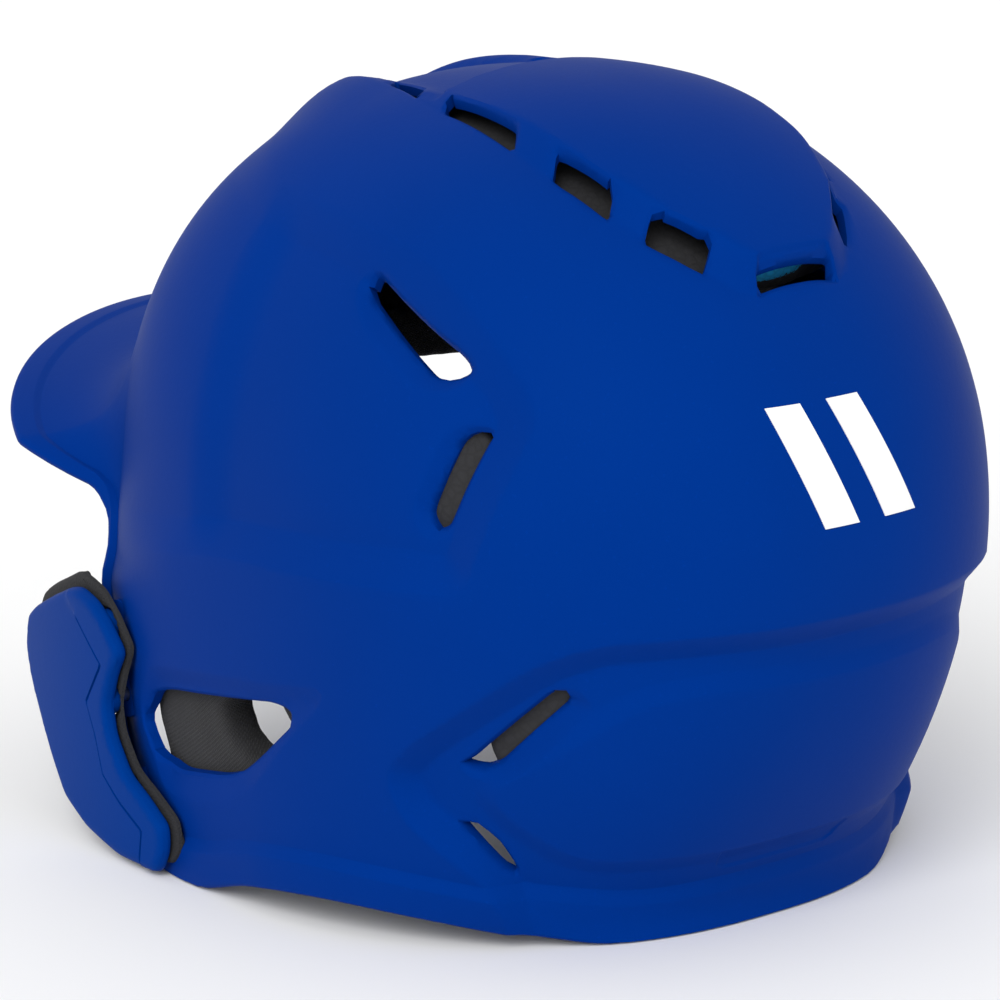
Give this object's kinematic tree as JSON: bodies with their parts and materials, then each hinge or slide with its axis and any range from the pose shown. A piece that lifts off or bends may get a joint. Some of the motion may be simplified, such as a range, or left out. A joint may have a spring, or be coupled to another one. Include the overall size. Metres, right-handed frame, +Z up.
{
  "type": "batting helmet",
  "caption": "Hard-shell batting helmet with a short bill, vented crown and sides, padded ear flaps and a screwed-on jaw guard.",
  "frame": {"origin": "middle of the footprint, on the table plane that the ear flaps and the nape stand on", "axes": "+Z up, -Y forwards along the bill, +X towards the wearer's left, where the jaw guard is"},
  "size_m": [0.1956, 0.3012, 0.2095],
  "materials": {
    "shell_plastic": "satin royal blue",
    "guard_plastic": "satin royal blue",
    "closed_foam": "matt closed-cell foam",
    "impact_foam": "matt foam",
    "lining_fabric": "brushed knit",
    "steel": "satin",
    "mark_white": "printed film"
  },
  "bodies": {
    "root": {"outer_shell": "shell_plastic", "jaw_guard": "guard_plastic", "jaw_guard_pad": "closed_foam", "jaw_guard_screw_upper": "steel", "jaw_guard_screw_middle": "steel", "jaw_guard_screw_lower": "steel", "jaw_guard_washer_upper": "steel", "jaw_guard_washer_middle": "steel", "jaw_guard_washer_lower": "steel", "crown_liner": "impact_foam", "brow_liner": "impact_foam", "nape_liner": "impact_foam", "upper_nape_liner": "impact_foam", "left_side_liner": "impact_foam", "right_side_liner": "impact_foam", "crown_pad": "lining_fabric", "brow_pad": "lining_fabric", "nape_pad": "lining_fabric", "left_temple_pad": "lining_fabric", "right_temple_pad": "lining_fabric", "left_ear_pad": "lining_fabric", "right_ear_pad": "lining_fabric", "rear_mark_left": "mark_white", "rear_mark_right": "mark_white"}
  },
  "joints": []
}
